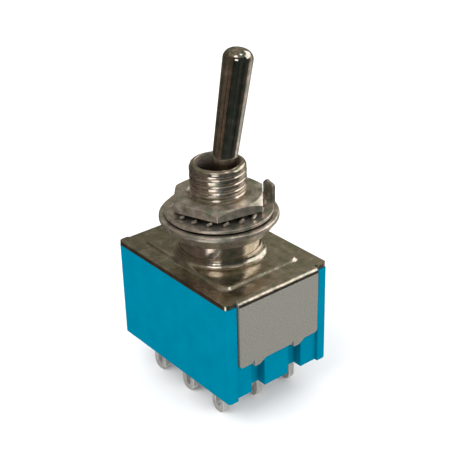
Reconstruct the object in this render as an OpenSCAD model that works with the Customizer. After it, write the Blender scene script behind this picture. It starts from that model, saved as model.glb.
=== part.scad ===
// Miniature three-pole panel toggle switch with solder lugs.
// The row's origin is on the bushing's axis, level with the tips of the lugs; +Z runs up the bushing.
// X runs along the row of poles and Y is the way the lever is thrown. All sizes are in millimetres.

/* [Poles] */
// Distance between neighbouring poles, along X
pole_pitch = 5.3; // [5.1:0.1:5.8]
// Distance from a common lug to a throw lug, along Y
lug_pitch = 4.7; // [4.6:0.1:5.2]
// Width of a solder lug
lug_w = 2.0; // [1.6:0.1:2.1]
// Thickness of a lug
lug_t = 0.76; // [0.6:0.02:0.9]
// How far the lugs stand out below the case
lug_out = 3.9; // [3.2:0.1:5]
// Width of the wire hole in a lug
wire_hole_w = 0.8; // [0.6:0.05:1]
// Length of the wire hole in a lug
wire_hole_l = 2.0; // [1.4:0.1:2.4]
// Height of the wire hole's round end above the middle of the lug's
hole_rise = 0.15; // [0:0.05:0.3]

/* [Case] */
// Height of the moulded case
case_h = 11.35; // [10.8:0.05:12.5]
// Thickness of the case's floor, which holds the lugs
floor_t = 2.2; // [1.8:0.1:2.6]
// Thickness of the long side walls
side_wall = 1.05; // [0.7:0.05:1.5]
// Thickness of the end walls
end_wall = 2.4; // [2:0.05:3]
// Room inside between an outer pole's centre and the end wall
end_room = 1.75; // [1.6:0.05:2.2]
// Room inside between a throw lug's centre and the side wall
side_room = 1; // [0.95:0.05:1.3]
// Thickness of the barriers between the poles
barrier_t = 0.8; // [0.6:0.1:1.2]
// Radius of the case's upright corners
case_corner_r = 0.35; // [0.2:0.05:0.6]
// Depth of the recess that a flap of the frame lies in
flap_recess = 0.4; // [0.2:0.05:0.6]
// Depth of the two grooves in each end wall, below the flap's hooks
groove_d = 1.1; // [0.7:0.1:1.2]
// Width of those grooves
groove_w = 1.8; // [1.6:0.1:2.2]
// Distance of the grooves from the middle of the end wall
groove_y = 2.55; // [2.3:0.05:3]
// Depth of the sealing compound under the floor
seal_t = 0.7; // [0.5:0.1:1]
// Depth of the sealing compound below the case's lower edge
seal_dip = 0.15; // [0.1:0.05:0.3]

/* [Frame] */
// Thickness of the frame's steel sheet
sheet_t = 0.5; // [0.4:0.05:0.6]
// How far the frame's plate reaches past the case's long sides
plate_overhang = 0.1; // [0:0.05:0.3]
// How far the plate stops short of the case's ends
plate_setback = 0.12; // [0.1:0.01:0.4]
// Radius of the plate's corners
plate_corner_r = 0.5; // [0.4:0.1:1.2]
// Height of the raised pad pressed into the plate
pad_h = 0.3; // [0.2:0.05:0.4]
// Rim of plain plate around the pad, along X
pad_rim_x = 2.3; // [1.6:0.1:2.6]
// Rim of plain plate around the pad, along Y
pad_rim_y = 1.8; // [1.4:0.05:2]
// Radius of the pad's corners
pad_corner_r = 1; // [0.8:0.1:1.4]
// Width of a flap
flap_w = 10.7; // [9.6:0.1:11]
// How far a flap reaches down from the top of the case
flap_drop = 7.35; // [6:0.05:8]
// How far a flap stands out past the case's ends
flap_proud = 0.15; // [0.1:0.05:0.4]
// Radius of the bend, on the inside
bend_in_r = 0.15; // [0.1:0.05:0.5]
// Width of the small relief cut beside each bend
relief_w = 0.15; // [0.1:0.05:0.3]
// Gap beside a flap in its recess
flap_gap = 0.2; // [0.1:0.05:0.4]
// Corners cut off a flap's lower end
flap_ease = 0.35; // [0.2:0.05:0.6]
// Width of the hooks that clench under the case's ledges
hook_w = 0.8; // [0.7:0.05:1.3]
// Distance of the hooks from the middle of the flap
hook_y = 2.7; // [2.4:0.05:3]
// How far both hooks sit to one side of the grooves
hook_shift = 0.33; // [0:0.01:0.5]
// How far the hooks reach below the flap
hook_drop = 0.5; // [0.4:0.05:0.8]
// How much wider a hook is at its root than at its end
hook_flare = 0.8; // [0.4:0.1:1]
// Width of the notch beside each hook
notch_w = 0.2; // [0.15:0.05:0.4]
// How far the case's grooves reach up behind the flap
groove_up = 0.6; // [0.4:0.1:1]
// Height of the collar drawn up around the bushing, above the pad
collar_h = 0.9; // [0.6:0.1:1.4]
// Wall of the collar at its top
collar_wall = 0.2; // [0.15:0.05:0.3]
// Radius of the collar's concave sweep
collar_sweep = 0.9; // [0.7:0.05:1.3]

/* [Bushing] */
// Radius of the bushing's neck
neck_r = 4.3; // [4:0.05:4.6]
// Height of the neck above the frame's plate
neck_h = 3.05; // [2.5:0.05:4.5]
// Radius of the bushing's thread, over its crests
thread_r = 3; // [2.9:0.05:3.1]
// Depth of the thread, from its crests to the line where nut and bushing mesh
thread_mesh = 0.24; // [0.2:0.02:0.3]
// Length of thread above the nut
free_thread = 3.46; // [2:0.02:5]
// Chamfer at the bushing's mouth
mouth_chamfer = 0.25; // [0.2:0.05:0.4]
// Radius of the mouth that the lever swings in
mouth_r = 2.42; // [2.35:0.01:2.5]
// Depth of the mouth's straight part
mouth_d = 2; // [1.5:0.1:2.3]
// Width of the keyway cut along the thread
keyway_w = 1; // [0.8:0.1:1.2]
// Depth of the keyway
keyway_d = 0.45; // [0.3:0.05:0.5]
// Thickness of the flange under the frame
flange_t = 0.5; // [0.4:0.05:0.6]
// Radius of the flange under the frame
flange_r = 5; // [4.8:0.1:5.3]

/* [Hardware] */
// Radius of the spacer ring
spacer_r = 6.37; // [6:0.01:6.6]
// Height of the spacer ring
spacer_t = 1.93; // [1.5:0.01:2.4]
// Height of the spacer ring's upright edge
spacer_edge = 0.55; // [0.4:0.05:1]
// Radius of the spacer ring's foot, where its cone ends
spacer_foot_r = 5.3; // [4.8:0.1:5.8]
// Rounding of the spacer ring's upper edge
spacer_round = 0.25; // [0.15:0.05:0.35]
// Radius of the locking ring
lock_r = 5.8; // [5.6:0.05:6]
// Thickness of the locking ring
lock_t = 0.37; // [0.3:0.01:0.6]
// Width of the locking ring's upturned tab
tab_w = 2.3; // [1.6:0.1:2.6]
// Height of the tab above the ring
tab_h = 1.65; // [1:0.05:2]
// How far the tab stands out past the ring's edge
tab_reach = 0.25; // [0.15:0.05:0.4]
// Corners cut off the tab's upper end
tab_chamfer = 0.4; // [0.2:0.05:0.6]
// Direction of the tab around the bushing, from +X
tab_angle = 75; // [60:1:90]
// Number of teeth on the lock washer
teeth = 18; // [12:1:20]
// Radius of the lock washer over its teeth
tooth_r = 5.05; // [4.9:0.05:5.2]
// Length of the lock washer's teeth
tooth_l = 0.95; // [0.7:0.05:1.2]
// Width of the lock washer's teeth
tooth_w = 0.95; // [0.8:0.05:1]
// Thickness of the lock washer's sheet
washer_t = 0.32; // [0.25:0.01:0.4]
// Height of the lock washer over its twisted teeth
washer_h = 0.62; // [0.55:0.01:1]
// Width of the nut across its flats
nut_af = 9.2; // [8.8:0.1:9.6]
// Thickness of the nut
nut_t = 1.08; // [1:0.01:2]
// How far the chamfer cuts the nut's corners back
nut_chamfer = 0.75; // [0.2:0.05:1]
// How much wider than the thread the nut is countersunk
nut_sink = 0.5; // [0.2:0.05:0.8]
// Slope of the nut's chamfer and countersink
nut_slope = 30; // [20:1:35]
// Direction of one of the nut's corners, from +X
nut_angle = -40; // [-60:1:0]

/* [Lever] */
// Angle between the bushing's axis and the lever, at rest and when thrown
lever_tilt = 11.3; // [10:0.1:12]
// Depth of the pivot below the bushing's mouth
pivot_depth = 4.7; // [4.5:0.02:4.9]
// Radius of the lever's ball
ball_r = 1.9; // [1.8:0.02:1.95]
// Length of the lever from its pivot to its tip
lever_l = 16.4; // [12:0.1:20]
// Radius of the lever at its tip
tip_r = 1.58; // [1.4:0.02:1.8]
// Radius of the lever where it leaves the ball
root_r = 1.19; // [1.05:0.01:1.2]
// Height of the lever's domed end
crown_h = 1.15; // [0.6:0.05:1.4]
// Shape of the domed end: 1 is a half ellipse, less is fuller
crown_shape = 0.85; // [0.7:0.05:1]
// Radius of the lever's tail below the ball
tail_r = 0.9; // [0.8:0.02:0.95]

/* [Contacts] */
// Angle that a rocker tips to either side
rocker_tilt = 6.5; // [6:0.1:7]
// Height of the rockers' pivots above the floor of the case
cradle_h = 1.93; // [1.8:0.01:2.2]
// Width of a rocker
rocker_w = 2.2; // [1.8:0.1:2.6]
// Thickness of a rocker's sheet
rocker_t = 0.4; // [0.35:0.01:0.5]
// Radius of the rib that a rocker tips on
rib_r = 0.5; // [0.4:0.02:0.55]
// Radius of a plunger and of its round tip
plunger_r = 0.7; // [0.6:0.02:0.75]
// How far a plunger can be pushed into the actuator
plunger_travel = 0.4; // [0.3:0.05:0.5]
// Width of the actuator, along Y
actuator_w = 3.2; // [2.8:0.1:3.4]
// Radius of the springs' wire
wire_r = 0.1; // [0.08:0.01:0.11]
// Number of turns in a spring
spring_turns = 3.5; // [3:0.5:4]

/* [Clearances] */
// Radial clearance of a plunger in its bore
slide_gap = 0.05; // [0.03:0.01:0.1]
// Radial clearance of the ball in its seat
ball_gap = 0.05; // [0.03:0.01:0.08]
// Radial clearance of rings on the thread
ring_gap = 0.06; // [0.04:0.01:0.1]
// Clearance of fixed pieces in their slots and holes
fit_gap = 0.03; // [0.02:0.01:0.05]
// Gap between touching contact faces, so that they meet without overlap
touch_gap = 0.02; // [0.01:0.01:0.04]

/* [Hidden] */
$fn = 64;
eps = 0.01;

// Plan of the case
room_x = pole_pitch + end_room;
room_y = lug_pitch + side_room;
case_x = room_x + end_wall;
case_y = room_y + side_wall;
recess_x = case_x - flap_recess;
plate_x = case_x - plate_setback;
plate_y = case_y + plate_overhang;
pad_x = plate_x - pad_rim_x;
pad_y = plate_y - pad_rim_y;
flap_x = case_x + flap_proud;
bend_r = bend_in_r + sheet_t;
bend_x = flap_x - bend_r;
pole_x = [-pole_pitch, 0, pole_pitch];

// Heights, from the tips of the lugs upwards
case_z = lug_out;
floor_z = case_z + floor_t;
case_top = case_z + case_h;
plate_top = case_top + sheet_t;
pad_top = plate_top + pad_h;
neck_top = plate_top + neck_h;
spacer_top = neck_top + spacer_t;
lock_top = spacer_top + lock_t;
nut_z = lock_top + washer_h;
nut_top = nut_z + nut_t;
rim_z = nut_top + free_thread;
pivot_z = rim_z - pivot_depth;
flange_z = case_top - flange_t;
flap_z = case_top - flap_drop;

// Rockers, seen along X, with each rocker's pivot at the origin
rocker_z = floor_z + cradle_h;
rib_drop = 0.1;
arm_over = 0.3;
drop = pivot_z - rocker_z;
tip_reach = drop - plunger_r - touch_gap - rocker_t - rib_drop;
sweep = 1.1;
arm_end = lug_pitch + arm_over;
button_r = 0.7;
button_t = 0.3;
head_r = 0.85;
head_t = 0.35;
elbow = 0.12;
lug_root = 0.5;
cradle_w = 1.7;
cradle_drop = 0.12;
// Where the middle of a plunger's round tip lies at a share s of the throw, seen from the rocker
function tip_at(s) = let (
    y = -tip_reach * sin(s * lever_tilt),
    z = drop - tip_reach * cos(s * lever_tilt),
    a = s * rocker_tilt
) [y * cos(a) + z * sin(a), z * cos(a) - y * sin(a)];
function unit(v) = v / norm(v);
function tip_way(s) = unit(tip_at(s + 0.01) - tip_at(s - 0.01));
// A point of the rocker's profile, d below the tip's path
function under_tip(s, d) = let (w = tip_way(s)) tip_at(s) + d * [-w[1], w[0]];
path_top = plunger_r + touch_gap;
bow_end = under_tip(-sweep, path_top);
arm_rise = (arm_end - bow_end[0]) * tan(rocker_tilt);
arm_top = bow_end[1] + arm_rise;
// Height of a closed arm's upper face: it lies level when the rocker is tipped
closed_top = bow_end[1] * cos(rocker_tilt) - bow_end[0] * sin(rocker_tilt);
head_z = rocker_z + closed_top - rocker_t - button_t - touch_gap;

// Actuator and plungers, measured down from the lever's pivot
swing_gap = 0.15;
inside_gap = 0.3;
tip_out = 1.4;
actuator_top = (pivot_z - flange_z + swing_gap + actuator_w / 2 * sin(lever_tilt)) / cos(lever_tilt);
actuator_bottom = tip_reach - tip_out;
actuator_x = room_x - inside_gap;
lowest_corner = actuator_bottom * cos(lever_tilt) + actuator_w / 2 * sin(lever_tilt);
barrier_top = pivot_z - lowest_corner - inside_gap;
bore_depth = 2.2;
bore_web = 0.3;
plunger_guide = 0.9;
hub_x = 2.2;
hub_h = 0.9;
plunger_top = actuator_bottom - plunger_guide;
bore_top = actuator_bottom - bore_depth;
tail_end = bore_top - bore_web;
spring_l = plunger_top - bore_top - 2 * touch_gap;

// Bushing's inside
seat_r = ball_r + ball_gap;
throat_r = 1.6;
throat_z = sqrt(seat_r * seat_r - throat_r * throat_r);
bore_drop = 1.1;
flare_r = (pivot_z - flange_z) * tan(lever_tilt) + tail_r / cos(lever_tilt) + inside_gap;
crest_top = rim_z - mouth_chamfer;
mesh_r = thread_r - thread_mesh;

module rounded_slab(x, y, z0, z1, r) {
    translate([0, 0, z0]) linear_extrude(z1 - z0) rounded_outline(x, y, r);
}

module rounded_outline(x, y, r) {
    square([2 * (x - r), 2 * y], center = true);
    square([2 * x, 2 * (y - r)], center = true);
    for (sx = [-1, 1], sy = [-1, 1]) translate([sx * (x - r), sy * (y - r)]) circle(r, $fn = 32);
}

module block(x, y, z0, z1) {
    translate([-x, -y, z0]) cube([2 * x, 2 * y, z1 - z0]);
}

// Both ends of the switch, the one at +X and its mirror image
module both_ends() {
    children();
    mirror([1, 0, 0]) children();
}

module tube(r_out, r_in, z0, z1) {
    translate([0, 0, z0]) difference() {
        cylinder(r = r_out, h = z1 - z0);
        translate([0, 0, -eps]) cylinder(r = r_in, h = z1 - z0 + 2 * eps);
    }
}

// Everything that swings with the lever is drawn upright with the pivot at the origin, then tilted
module on_lever() {
    translate([0, 0, pivot_z]) rotate([-lever_tilt, 0, 0]) children();
}

module on_rocker(i) {
    translate([pole_x[i], 0, rocker_z]) rotate([rocker_tilt, 0, 0]) children();
}

module each_lug_slot(gap, z0, z1) {
    for (x = pole_x, y = [-lug_pitch, 0, lug_pitch])
        translate([x, y, 0]) block(lug_w / 2 + gap, lug_t / 2 + gap, z0, z1);
}

module case() {
    color("#0086a8") difference() {
        rounded_slab(case_x, case_y, case_z, case_top, case_corner_r);
        block(room_x, room_y, barrier_top, case_top + eps);
        for (i = [0 : 2]) pole_cell(i);
        each_lug_slot(fit_gap, case_z - eps, floor_z + eps);
        block(room_x, room_y, case_z - eps, case_z + seal_t);
        both_ends() end_recess();
        translate([0, 0, flange_z - fit_gap]) cylinder(r = flange_r + fit_gap, h = flange_t + 1);
    }
}

module pole_cell(i) {
    inner = pole_pitch / 2 - barrier_t / 2;
    low = i == 0 ? end_room : inner;
    high = i == 2 ? end_room : inner;
    translate([pole_x[i] - low, -room_y, floor_z]) cube([low + high, 2 * room_y, case_h]);
}

// The flap's recess, the edge eased for the bend, and the two grooves below the hooks
module end_recess() {
    half = flap_w / 2 + flap_gap;
    translate([recess_x, -half, case_z - eps]) cube([1, 2 * half, case_h + 2 * eps]);
    translate([recess_x, 0, case_top]) rotate([0, 45, 0]) cube([bend_r, 2 * half, bend_r], center = true);
    for (side = [-1, 1])
        translate([recess_x - groove_d, side * groove_y - groove_w / 2, case_z - eps])
            cube([groove_d + 1, groove_w, flap_z + groove_up - case_z]);
}

module terminal_seal() {
    color("#20242b") difference() {
        block(room_x - fit_gap, room_y - fit_gap, case_z + seal_dip, case_z + seal_t - fit_gap);
        each_lug_slot(fit_gap, case_z, case_z + seal_t);
    }
}

module frame() {
    color("#8e877c") {
        difference() {
            union() {
                rounded_slab(plate_x, plate_y, case_top, plate_top, plate_corner_r);
                rounded_slab(pad_x, pad_y, plate_top - eps, pad_top, pad_corner_r);
                collar();
            }
            rounded_slab(pad_x - sheet_t, pad_y - sheet_t,
                case_top - eps, case_top + pad_h, pad_corner_r - sheet_t);
            cylinder(r = neck_r + fit_gap, h = 3 * case_h);
            both_ends() translate([bend_x, -flap_w / 2 - relief_w, case_top - eps])
                cube([1, flap_w + 2 * relief_w, sheet_t + 2 * eps]);
        }
        both_ends() flap();
    }
}

// The sheet is drawn up around the bushing in a concave sweep
module collar() {
    foot = neck_r + collar_wall + collar_sweep;
    rotate_extrude() polygon(concat(
        [[neck_r - eps, plate_top - eps], [foot, plate_top - eps]],
        [for (a = [0 : 15 : 90]) [foot - collar_sweep * sin(a), pad_top + collar_h * (1 - cos(a))]],
        [[neck_r - eps, pad_top + collar_h]]
    ));
}

// One end flap: the bend, the flap itself and its two clenched hooks
module flap() {
    bend_z = plate_top - bend_r;
    difference() {
        union() {
            translate([bend_x, flap_w / 2, bend_z]) rotate([90, 0, 0]) cylinder(r = bend_r, h = flap_w);
            translate([bend_x - 1, -flap_w / 2, case_top]) cube([1, flap_w, sheet_t]);
        }
        translate([bend_x, flap_w / 2 + 1, bend_z]) rotate([90, 0, 0]) cylinder(r = bend_in_r, h = flap_w + 2);
        translate([bend_x - 2 * bend_r, -flap_w, bend_z - 2 * bend_r])
            cube([2 * bend_r, 2 * flap_w, 2 * bend_r + bend_in_r]);
        translate([bend_x - 2 * bend_r, -flap_w, bend_z - 2 * bend_r]) cube([4 * bend_r, 2 * flap_w, 2 * bend_r]);
    }
    translate([flap_x, 0, 0]) rotate([0, -90, 0]) linear_extrude(sheet_t) flap_outline(bend_z);
}

// Height above the lug tips runs along the outline's x, and the switch's Y along its y
module flap_outline(top) {
    half = flap_w / 2;
    difference() {
        union() {
            polygon([
                [top, -half], [flap_z + flap_ease, -half], [flap_z, flap_ease - half],
                [flap_z, half - flap_ease], [flap_z + flap_ease, half], [top, half]
            ]);
            for (side = [-1, 1]) hook_outline(side * hook_y - hook_shift);
        }
        for (side = [-1, 1])
            translate([flap_z - eps, side * hook_y - hook_shift - hook_w / 2 - notch_w]) square(notch_w);
    }
}

module hook_outline(y) {
    polygon([
        [flap_z + eps, y - hook_w / 2], [flap_z - hook_drop, y - hook_w / 2],
        [flap_z - hook_drop, y + hook_w / 2], [flap_z + eps, y + hook_w / 2 + hook_flare]
    ]);
}

module bushing() {
    color("#8a8378") difference() {
        union() {
            translate([0, 0, flange_z]) cylinder(r = flange_r, h = flange_t - fit_gap);
            translate([0, 0, flange_z]) cylinder(r = neck_r, h = neck_top - flange_z);
            translate([0, 0, neck_top - eps]) cylinder(r = thread_r, h = crest_top - neck_top + eps);
            translate([0, 0, crest_top]) cylinder(r1 = thread_r, r2 = thread_r - mouth_chamfer, h = mouth_chamfer);
        }
        tube(thread_r + 1, mesh_r, nut_z, nut_top);
        translate([-keyway_w / 2, thread_r - keyway_d, neck_top]) cube([keyway_w, 1, rim_z]);
        translate([0, 0, pivot_z]) bushing_bore();
    }
}

// From the mouth down: straight mouth, cone, throat, ball seat and the flare that the tail swings in
module bushing_bore() {
    cone_h = pivot_depth - mouth_d - throat_z;
    translate([0, 0, pivot_depth - mouth_d]) cylinder(r = mouth_r, h = mouth_d + eps);
    translate([0, 0, throat_z]) cylinder(r1 = throat_r, r2 = mouth_r, h = cone_h);
    sphere(r = seat_r);
    translate([0, 0, -bore_drop]) cylinder(r = seat_r, h = bore_drop);
    translate([0, 0, flange_z - pivot_z])
        cylinder(r1 = flare_r, r2 = seat_r, h = pivot_z - flange_z - bore_drop);
}

// A ring with a round upper edge and a cone below it
module spacer_ring() {
    r_in = thread_r + ring_gap;
    round_r = spacer_r - spacer_round;
    round_z = spacer_top - spacer_round;
    color("#948c81") rotate_extrude() polygon(concat(
        [[r_in, neck_top + touch_gap], [spacer_foot_r, neck_top + touch_gap]],
        [[spacer_r, spacer_top - spacer_edge]],
        [for (a = [0 : 15 : 90]) [round_r + spacer_round * cos(a), round_z + spacer_round * sin(a)]],
        [[r_in, spacer_top]]
    ));
}

module locking_ring() {
    z = spacer_top + touch_gap;
    color("#9a9287") {
        tube(lock_r, thread_r + ring_gap, z, lock_top);
        translate([0, 0, z]) linear_extrude(lock_top - z)
            intersection() {
                translate([-keyway_w / 2 + ring_gap, thread_r - keyway_d + ring_gap])
                    square([keyway_w - 2 * ring_gap, 0.6]);
                circle(lock_r - 1);
            }
        rotate([0, 0, tab_angle - 90]) {
            translate([-tab_w / 2, lock_r - 1, z]) cube([tab_w, 1 + tab_reach, lock_top - z]);
            translate([0, lock_r + tab_reach, z]) rotate([90, 0, 0]) linear_extrude(lock_t) tab_outline();
        }
    }
}

// The tab is bent up outside the nut's corners, with its own upper corners cut off
module tab_outline() {
    top = tab_h + lock_t;
    half = tab_w / 2;
    polygon([
        [-half, 0], [half, 0], [half, top - tab_chamfer],
        [half - tab_chamfer, top], [tab_chamfer - half, top], [-half, top - tab_chamfer]
    ]);
}

module lock_washer() {
    mid = (lock_top + nut_z) / 2;
    root = tooth_r - tooth_l;
    // A twisted tooth just fills the height between the locking ring and the nut
    height = washer_h - 2 * touch_gap;
    twist = asin(height / norm([tooth_w, washer_t])) - atan(washer_t / tooth_w);
    color("#a39b8f") {
        tube(root + 0.2, thread_r + ring_gap, mid - washer_t / 2, mid + washer_t / 2);
        for (i = [0 : teeth - 1]) rotate([0, 0, 360 * (i + 0.5) / teeth]) translate([root, 0, mid])
            rotate([twist, 0, 0]) translate([0, -tooth_w / 2, -washer_t / 2])
                cube([tooth_r - root, tooth_w, washer_t]);
    }
}

module hex_nut() {
    corner_r = nut_af / sqrt(3);
    top = nut_top;
    z = nut_z + touch_gap;
    chamfer_h = nut_chamfer * tan(nut_slope);
    sink_h = (thread_r + nut_sink - mesh_r) * tan(nut_slope);
    color("#958d82") difference() {
        intersection() {
            rotate([0, 0, nut_angle]) translate([0, 0, z]) cylinder(r = corner_r, h = top - z, $fn = 6);
            union() {
                translate([0, 0, z]) cylinder(r = corner_r + 1, h = top - z - chamfer_h);
                translate([0, 0, top - chamfer_h - eps])
                    cylinder(r1 = corner_r, r2 = corner_r - nut_chamfer, h = chamfer_h + eps);
            }
        }
        translate([0, 0, z - eps]) cylinder(r = mesh_r + fit_gap, h = nut_t + 2 * eps);
        translate([0, 0, top - sink_h]) cylinder(r1 = mesh_r, r2 = thread_r + nut_sink, h = sink_h + eps);
    }
}

module lever() {
    crown_z = lever_l - crown_h;
    color("#5d5149") on_lever() {
        sphere(r = ball_r);
        cylinder(r1 = root_r, r2 = tip_r, h = crown_z);
        translate([0, 0, crown_z - eps]) rotate_extrude() polygon(concat(
            [[0, 0]],
            [for (a = [0 : 10 : 80]) [tip_r * pow(cos(a), crown_shape), crown_h * sin(a) + eps]],
            [[0, crown_h + eps]]
        ));
        translate([0, 0, -tail_end]) cylinder(r = tail_r, h = tail_end);
    }
}

module actuator() {
    color("#e9e4d4") on_lever() difference() {
        union() {
            block(actuator_x, actuator_w / 2, -actuator_bottom, -actuator_top - hub_h);
            block(hub_x, actuator_w / 2, -actuator_bottom, -actuator_top);
        }
        translate([0, 0, -tail_end - touch_gap]) cylinder(r = tail_r + 0.01, h = tail_end);
        for (x = pole_x) translate([x, 0, -actuator_bottom - eps])
            cylinder(r = plunger_r + slide_gap, h = bore_depth + eps);
    }
}

module plunger(i) {
    color("#e8e8e2") on_lever() translate([pole_x[i], 0, 0]) {
        translate([0, 0, -tip_reach]) sphere(r = plunger_r);
        translate([0, 0, -tip_reach]) cylinder(r = plunger_r, h = tip_reach - plunger_top);
    }
}

// A round wire wound as a helix, swept from rings of wire_sides points
wire_sides = 6;
turn_steps = 14;
spring_r = plunger_r - wire_r - 0.02;
function coil_point(k, n) = let (a = 360 * spring_turns * k / n, rise = spring_l - 2 * wire_r)
    [spring_r * cos(a), spring_r * sin(a), wire_r + rise * k / n];
function coil_ring(k, n) = let (a = 360 * spring_turns * k / n, c = coil_point(k, n))
    [for (j = [0 : wire_sides - 1]) let (b = 360 * j / wire_sides)
        c + wire_r * [cos(b) * cos(a), cos(b) * sin(a), sin(b)]];

module plunger_spring(i) {
    n = ceil(spring_turns * turn_steps);
    m = wire_sides;
    points = [for (k = [0 : n]) each coil_ring(k, n)];
    sides = [for (k = [0 : n - 1], j = [0 : m - 1]) each [
        [k * m + j, (k + 1) * m + j, (k + 1) * m + (j + 1) % m],
        [k * m + j, (k + 1) * m + (j + 1) % m, k * m + (j + 1) % m]
    ]];
    first = [for (j = [0 : m - 1]) j];
    last = [for (j = [m - 1 : -1 : 0]) n * m + j];
    color("#c9c9c4") on_lever() translate([pole_x[i], 0, -plunger_top + touch_gap])
        polyhedron(points, concat(sides, [first, last]), convexity = 6);
}

module rocker(i) {
    steps = 12;
    shares = [for (k = [0 : steps]) sweep * (1 - 2 * k / steps)];
    upper = [for (s = shares) under_tip(s, path_top)];
    lower = [for (s = shares) under_tip(s, path_top + rocker_t)];
    flip = [for (k = [steps : -1 : 0]) lower[k]];
    arm_low = arm_top - rocker_t / cos(rocker_tilt);
    root_y = bow_end[0] + elbow;
    color("#cfa96a") on_rocker(i) {
        translate([-rocker_w / 2, 0, 0]) rotate([90, 0, 90]) linear_extrude(rocker_w) {
            polygon(concat(
                [[-arm_end, arm_top]], upper, [[arm_end, arm_top]],
                [[arm_end, arm_low], [root_y, arm_low - (arm_end - root_y) * tan(rocker_tilt)]], flip,
                [[-root_y, arm_low - (arm_end - root_y) * tan(rocker_tilt)], [-arm_end, arm_low]]
            ));
            circle(rib_r);
        }
        for (side = [-1, 1]) translate([0, side * (arm_end - button_r), 0]) button(side);
    }
}

// A contact button under the end of an arm, square to the arm
module button(side) {
    z = arm_top - button_r * tan(rocker_tilt) - rocker_t / cos(rocker_tilt);
    translate([0, 0, z]) rotate([side * rocker_tilt, 0, 0]) translate([0, 0, -button_t])
        cylinder(r = button_r, h = button_t + 0.1, $fn = 32);
}

// A lug seen along Y: a strip with a round end and a long hole for the wire
module lug(top) {
    end_r = lug_w / 2;
    hole_z = end_r + hole_rise;
    translate([0, lug_t / 2, 0]) rotate([90, 0, 0]) linear_extrude(lug_t) difference() {
        union() {
            translate([0, end_r]) circle(end_r);
            translate([-end_r, end_r]) square([lug_w, top - end_r]);
        }
        translate([0, hole_z]) circle(wire_hole_w / 2);
        translate([0, hole_z + wire_hole_l - wire_hole_w]) circle(wire_hole_w / 2);
        translate([-wire_hole_w / 2, hole_z]) square([wire_hole_w, wire_hole_l - wire_hole_w]);
    }
}

// The common lug ends inside in a cradle that the rocker's rib tips in
module common_terminal(i) {
    cradle_top = rocker_z - cradle_drop;
    color("#b9b4aa") translate([pole_x[i], 0, 0]) {
        lug(floor_z + lug_root);
        difference() {
            block(lug_w / 2, cradle_w / 2, floor_z + touch_gap, cradle_top);
            translate([-lug_w, 0, rocker_z]) rotate([0, 90, 0]) cylinder(r = rib_r + slide_gap, h = 2 * lug_w);
        }
    }
}

// A throw lug ends inside in a round contact head
module throw_terminal(i, side) {
    color("#b9b4aa") translate([pole_x[i], side * lug_pitch, 0]) {
        lug(head_z - head_t + eps);
        translate([0, 0, head_z - head_t]) cylinder(r = head_r, h = head_t, $fn = 32);
    }
}

case();
terminal_seal();
frame();
bushing();
spacer_ring();
locking_ring();
lock_washer();
hex_nut();
lever();
actuator();
plunger(0);  // plunger_1
plunger(1);  // plunger_2
plunger(2);  // plunger_3
plunger_spring(0);  // plunger_spring_1
plunger_spring(1);  // plunger_spring_2
plunger_spring(2);  // plunger_spring_3
rocker(0);  // rocker_1
rocker(1);  // rocker_2
rocker(2);  // rocker_3
common_terminal(0);  // common_terminal_1
common_terminal(1);  // common_terminal_2
common_terminal(2);  // common_terminal_3
throw_terminal(0, -1);  // near_terminal_1
throw_terminal(1, -1);  // near_terminal_2
throw_terminal(2, -1);  // near_terminal_3
throw_terminal(0, 1);  // far_terminal_1
throw_terminal(1, 1);  // far_terminal_2
throw_terminal(2, 1);  // far_terminal_3
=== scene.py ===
import math
from functools import partial
import bmesh
import bpy
from mathutils import Matrix, Vector


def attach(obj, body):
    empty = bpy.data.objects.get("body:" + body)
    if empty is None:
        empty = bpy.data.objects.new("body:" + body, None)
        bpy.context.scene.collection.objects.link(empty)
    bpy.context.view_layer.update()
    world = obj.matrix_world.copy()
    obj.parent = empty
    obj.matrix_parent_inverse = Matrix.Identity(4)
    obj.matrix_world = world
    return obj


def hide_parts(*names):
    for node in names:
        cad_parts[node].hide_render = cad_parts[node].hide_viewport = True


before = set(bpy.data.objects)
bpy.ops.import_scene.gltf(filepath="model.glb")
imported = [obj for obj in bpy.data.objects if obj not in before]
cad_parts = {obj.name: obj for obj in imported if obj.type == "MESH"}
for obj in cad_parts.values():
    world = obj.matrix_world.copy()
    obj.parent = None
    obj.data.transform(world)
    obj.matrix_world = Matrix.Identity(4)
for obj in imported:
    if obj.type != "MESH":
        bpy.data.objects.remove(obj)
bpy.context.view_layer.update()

# ---- Camera ----
# A short telephoto, a hand's breadth away, looks down on one end and one long side of the switch.
# It is set by the point it aims at, its two angles and its distance.
MM = 0.001
AZIMUTH, ELEVATION, ROLL = math.radians(51.658), math.radians(27.544), math.radians(-1.569)
AIM = Vector((-4.382, 4.343, 15.506)) * MM
DISTANCE, LENS = 116.978 * MM, 82.752

toward = Vector((math.sin(AZIMUTH), -math.cos(AZIMUTH), 0))
to_right = Vector((math.cos(AZIMUTH), math.sin(AZIMUTH), 0))
back = toward * math.cos(ELEVATION) + Vector((0, 0, math.sin(ELEVATION)))
up = back.cross(to_right)
level = to_right * math.cos(ROLL) + up * math.sin(ROLL)
upright = up * math.cos(ROLL) - to_right * math.sin(ROLL)
camera = bpy.data.objects.new("camera", bpy.data.cameras.new("camera"))
camera.data.lens, camera.data.sensor_width = LENS, 36
camera.data.clip_start, camera.data.clip_end = 5 * MM, 2
camera.matrix_world = Matrix.Translation(AIM + back * DISTANCE) @ Matrix((level, upright, back)).transposed().to_4x4()
bpy.context.collection.objects.link(camera)
bpy.context.scene.camera = camera
bpy.context.scene.view_settings.view_transform = "Standard"

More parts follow.
